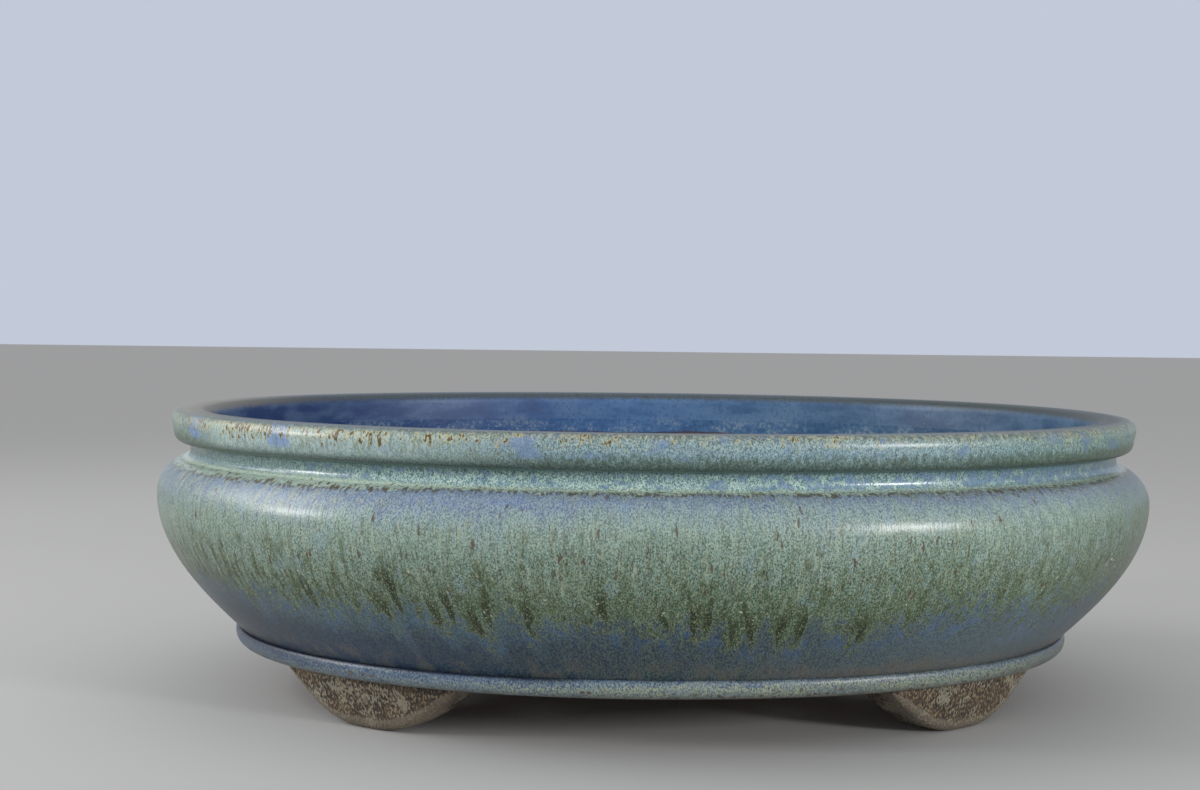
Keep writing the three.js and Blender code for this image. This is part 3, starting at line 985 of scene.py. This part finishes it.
lip_glaze = new_material("lip_glaze")
lip_run = glaze_run(lip_glaze)
lip_right, lip_round, lip_down = parts_of(lip_run)
lip_grain = cloud(stretched(lip_run, 1, 1.4), 0.42, 2)
lip_curd = cloud(stretched(lip_run, 1, 1.6), 1.5, 2)
lip_blue = cloud(stretched(lip_run, 1.3, 1), 7, 2)
lip_level = lip_down + swing(lip_curd, 6)
lip_pale = ramp(lip_level, LIP_PALE)
lip_deep = ramp(lip_level, LIP_DEEP)
lip_colour = mixed(rise(lip_grain, 0.4, 0.6), lip_deep, lip_pale)
lip_shade = rise(lip_curd * 0.5 + lip_grain * 0.6, 0.55, 0.68) * rise(lip_down, 12, 19)
lip_colour = mixed(lip_shade * 0.4, lip_colour, display(76, 84, 58))
lip_tooth = cloud(stretched(lip_run, 1, 2), 0.5, 1)
lip_colour = mixed(rise(lip_tooth, 0.46, 0.28) * 0.55, lip_colour, display(44, 56, 44))
lip_face = rise(lip_down, 8, 11) * rise(lip_down, 18, 16)
lip_tint = rise(lip_blue + swing(lip_grain, 0.4), 0.54, 0.66) * lip_face
lip_colour = mixed(lip_tint * 0.65, lip_colour, display(104, 132, 178))
# Painted shade: the lip darkened towards its right end; the same mask also thins the cream there.
lip_far = rise(lip_right, 50, 178)
lip_colour = dimmed(lip_far, lip_colour, display(196, 202, 174))
# Painted shade: the lip darkened towards its left end.
lip_left_end_shade = rise(lip_right, -125, -165)
lip_colour = dimmed(lip_left_end_shade, lip_colour, display(222, 222, 202))
# Paler face and underside of the lip on the left: partly a greener glaze, partly painted light for the
# highlight there.
lip_left_tint_and_light = rise(lip_round, -40, -100) * rise(lip_round, -195, -165)
lip_left_tint_and_light = lip_left_tint_and_light * rise(lip_down, 9, 12) * rise(lip_down, 20.5, 16.5)
lip_left_tint_and_light = lip_left_tint_and_light * (0.3 + rise(lip_curd * 0.6 + lip_grain * 0.4, 0.44, 0.58) * 0.5)
lip_colour = mixed(lip_left_tint_and_light, lip_colour, display(176, 196, 192))
for place in LIP_PANES:
    off = lip_round - place + swing(lip_curd, 8)
    lip_pane = rise(off.math("ABSOLUTE", off), 6, 3) * lip_face * (0.4 + rise(lip_grain, 0.4, 0.6) * 0.3)
    lip_colour = mixed(lip_pane, lip_colour, display(88, 128, 200))
lip_comb = rise(cloud(stretched(lip_run, 1, 5), 0.9, 1), 0.5, 0.64) * rise(lip_round, -30, -90) * lip_face
lip_colour = mixed(lip_comb * 0.45, lip_colour, display(112, 118, 74))

# The worn upper edge, curdled and broken to cream and rust.
lip_edge = lip_down - rise(lip_round, -40, -90) * 1.5
lip_worn = rise(lip_edge, 7.8, 9.2) * rise(lip_edge + swing(lip_curd, 14), 13.5, 11.5)
lip_curdled = mixed(rise(lip_grain, 0.4, 0.6), display(104, 102, 70), display(182, 186, 152))
lip_colour = mixed(lip_worn * rise(lip_curd, 0.48, 0.6) * 0.5, lip_colour, lip_curdled)
lip_streak = cloud(stretched(wavered(lip_run, 2, 0.8), 1, 2.4), 1.1, 1)
lip_knot = cloud(stretched(lip_run, 1, 0), 10, 1)
lip_left = rise(lip_round, -30, -100) * 0.45 + rise(lip_round, -112, -142) * 0.65
lip_left = lip_left * rise(lip_round, -212, -190)
lip_break = lip_streak * 0.7 + lip_knot * 0.4 + lip_left * 0.085
lip_cream = lip_worn * rise(lip_break, 0.58, 0.66) * (0.7 - lip_far * 0.5)
lip_colour = mixed(lip_cream, lip_colour, display(190, 186, 148))
lip_rust = lip_worn * rise(lip_break, 0.66, 0.71)
lip_colour = mixed(lip_rust * 0.95, lip_colour, display(84, 68, 28))
lip_rolled = rise(lip_right, -135, -172) * rise(lip_down, 12, 6)
lip_colour = mixed(lip_rolled * 0.6, lip_colour, display(166, 157, 140))

# The top of the rim and the inside.
lip_shadow = rise(lip_down, 2, -1.5) * rise(lip_down, -6, -3)
lip_colour = mixed(lip_shadow * 0.5, lip_colour, display(58, 60, 64))
lip_inside = rise(lip_down + swing(lip_curd, 2), -2, -4.4)
lip_lining, _, _ = inner_shades(lip_run)
lip_colour = mixed(lip_inside, lip_colour, lip_lining)
lip_rough = LIP_ROUGHNESS + lip_grain * 0.16 + rise(lip_down, 8, 3) * 0.12
fired(lip_glaze, lip_colour, lip_rough, lip_grain * 0.3 + lip_streak * 0.5, LIP_RELIEF)

lip_outline = followed(lip_outer[::-1], NECK_DOWN, -1)
lip_piece = finished_piece("lip_rim", hoop("lip_rim", lip_outline), lip_glaze)
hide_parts("lip")

# Studio
# A wide pale floor that runs back to the horizon under a pale even sky. Two small soft lights stand low at
# the left and at the front right, for the glaze's two highlights, and a wide one fills in from the left.

STAGE_REACH = 6
STAGE_GREY = display(188, 188, 188)
STAGE_ROUGHNESS = 0.9
STAGE_GLOSS = 0.1
LAMP_SPREAD = 90
# The middle of the pot, in metres, which the lights are aimed at.
LAMP_AIM = Vector((0, 0, 0.06))
SKY_WHITE = display(255, 255, 255)
SKY_STRENGTH = 0.65
SKY_SEEN = display(194, 201, 216)

stage_mesh = bpy.data.meshes.new("stage_floor")
stage_corners = []
for x, y in ((-1, -1), (1, -1), (1, 1), (-1, 1)):
    stage_corners.append((x * STAGE_REACH, y * STAGE_REACH, 0))
stage_mesh.from_pydata(stage_corners, [], [(0, 1, 2, 3)])
stage_paper = new_material("stage_paper")
stage_shader = stage_paper.node_tree.nodes["Principled BSDF"]
stage_shader.inputs["Base Color"].default_value = STAGE_GREY
stage_shader.inputs["Roughness"].default_value = STAGE_ROUGHNESS
stage_shader.inputs["Specular IOR Level"].default_value = STAGE_GLOSS
stage_mesh.materials.append(stage_paper)
stage = bpy.data.objects.new("stage_floor", stage_mesh)
bpy.context.scene.collection.objects.link(stage)


def soft_light(name, azimuth, elevation, distance, size, power):
    """A flat soft light aimed at the pot from this many degrees right of its front and this many up."""
    lamp = bpy.data.lights.new(name, "AREA")
    lamp.shape = "RECTANGLE"
    lamp.size = size[0]
    lamp.size_y = size[1]
    lamp.energy = power
    lamp.spread = math.radians(LAMP_SPREAD)
    light = bpy.data.objects.new(name, lamp)
    turn = math.radians(azimuth)
    lift = math.radians(elevation)
    towards = Vector((math.sin(turn) * math.cos(lift), -math.cos(turn) * math.cos(lift), math.sin(lift)))
    light.location = towards * distance + LAMP_AIM
    light.rotation_euler = towards.to_track_quat("Z", "Y").to_euler()
    bpy.context.scene.collection.objects.link(light)


soft_light("left_light", azimuth=-76, elevation=14, distance=1.4, size=(0.15, 0.22), power=1.25)
soft_light("left_fill", azimuth=-95, elevation=30, distance=1.6, size=(1, 0.8), power=2.6)
soft_light("right_light", azimuth=44, elevation=13, distance=1.4, size=(0.15, 0.2), power=1.8)

sky = bpy.data.worlds.new("studio_sky")
sky.use_nodes = True
sky_nodes = sky.node_tree.nodes
sky_light = sky_nodes["Background"]
sky_light.inputs["Color"].default_value = SKY_WHITE
sky_light.inputs["Strength"].default_value = SKY_STRENGTH
sky_seen = sky_nodes.new("ShaderNodeBackground")
sky_seen.inputs["Color"].default_value = SKY_SEEN
sky_seen.inputs["Strength"].default_value = 1
sky_path = sky_nodes.new("ShaderNodeLightPath")
sky_view = Shade(sky_path.outputs["Is Camera Ray"]) + Shade(sky_path.outputs["Is Glossy Ray"])
sky_view = sky_view + Shade(sky_path.outputs["Is Transmission Ray"])
sky_shades = {0: sky_view, 1: Shade(sky_light.outputs[0]), 2: Shade(sky_seen.outputs[0])}
sky_mixed = sky_view.node("ShaderNodeMixShader", {}, sky_shades)
sky.node_tree.links.new(sky_mixed.socket, sky_nodes["World Output"].inputs["Surface"])
bpy.context.scene.world = sky
bpy.context.scene.view_settings.view_transform = "Standard"

# Camera
# It stands at eye level just left of the middle, a little over the rim, as in the photograph.

CAMERA_PLACE = Vector((-55.4, -670, 137)) * MM
CAMERA_PAN = 3.05
CAMERA_TILT = -2.57
CAMERA_ROLL = 0.73
CAMERA_LENS = 54.07
CAMERA_SENSOR = 36
CAMERA_NEAREST = 0.01

camera_data = bpy.data.cameras.new("camera")
camera_data.sensor_width = CAMERA_SENSOR
camera_data.lens = CAMERA_LENS
camera_data.clip_start = CAMERA_NEAREST
camera = bpy.data.objects.new("camera", camera_data)
camera_pan = Matrix.Rotation(math.radians(-CAMERA_PAN), 4, "Z")
camera_tilt = Matrix.Rotation(math.radians(90 + CAMERA_TILT), 4, "X")
camera_roll = Matrix.Rotation(math.radians(CAMERA_ROLL), 4, "Z")
camera.matrix_world = Matrix.Translation(CAMERA_PLACE) @ camera_pan @ camera_tilt @ camera_roll
bpy.context.scene.collection.objects.link(camera)
bpy.context.scene.camera = camera
